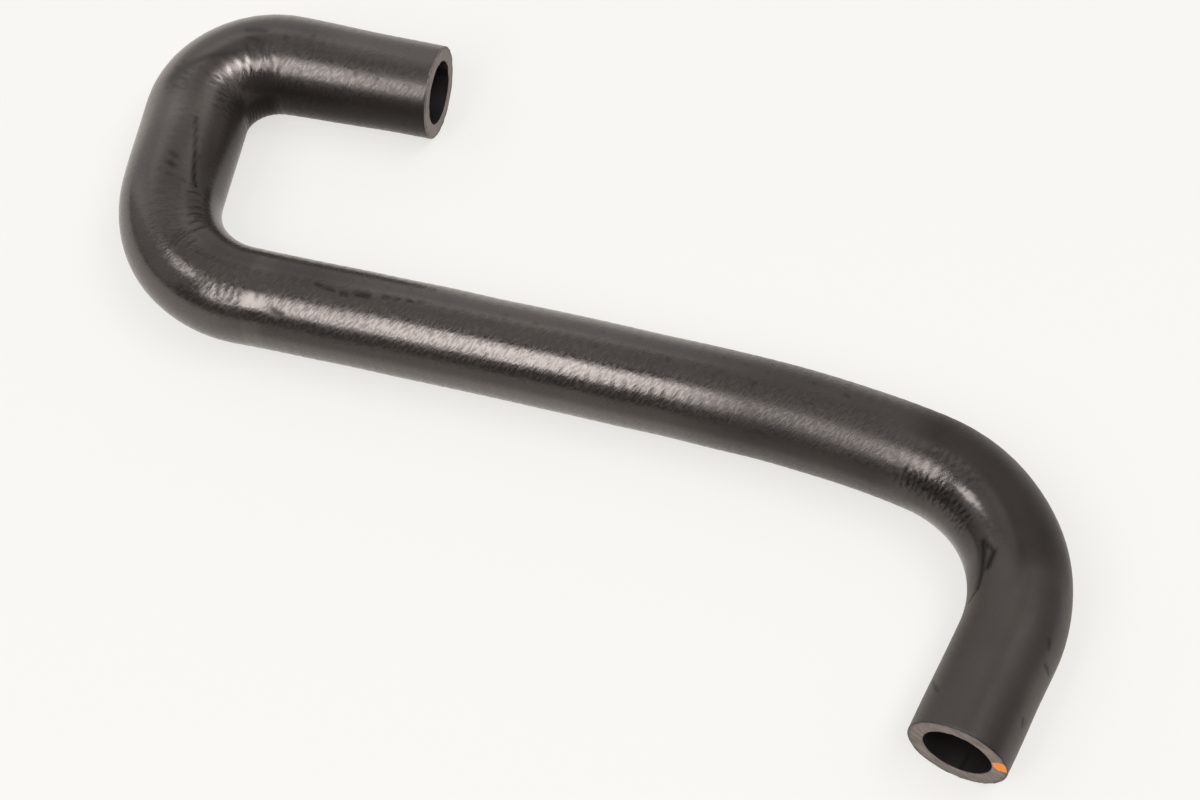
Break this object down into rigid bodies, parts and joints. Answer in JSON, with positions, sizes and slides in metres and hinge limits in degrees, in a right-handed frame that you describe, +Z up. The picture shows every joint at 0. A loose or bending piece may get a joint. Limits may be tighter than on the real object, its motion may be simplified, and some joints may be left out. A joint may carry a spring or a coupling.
{
  "type": "heater hose",
  "caption": "Moulded rubber heater hose, round and open at both ends, with a hooked upper end, a long straight run and a square outlet bend, lying flat.",
  "frame": {"origin": "centre of the hose's bounding box in plan, on the surface that it lies on", "axes": "+X along the long run towards the outlet bend, +Y towards the hooked upper leg, +Z up out of the plane of the bends"},
  "size_m": [0.2526, 0.1576, 0.0259],
  "materials": {
    "black_rubber": "semi-matt black EPDM rubber, cloth-cured, with faint knit courses showing through; cut ends matt grey"
  },
  "bodies": {
    "root": {"heater_hose": "black_rubber"}
  },
  "joints": []
}
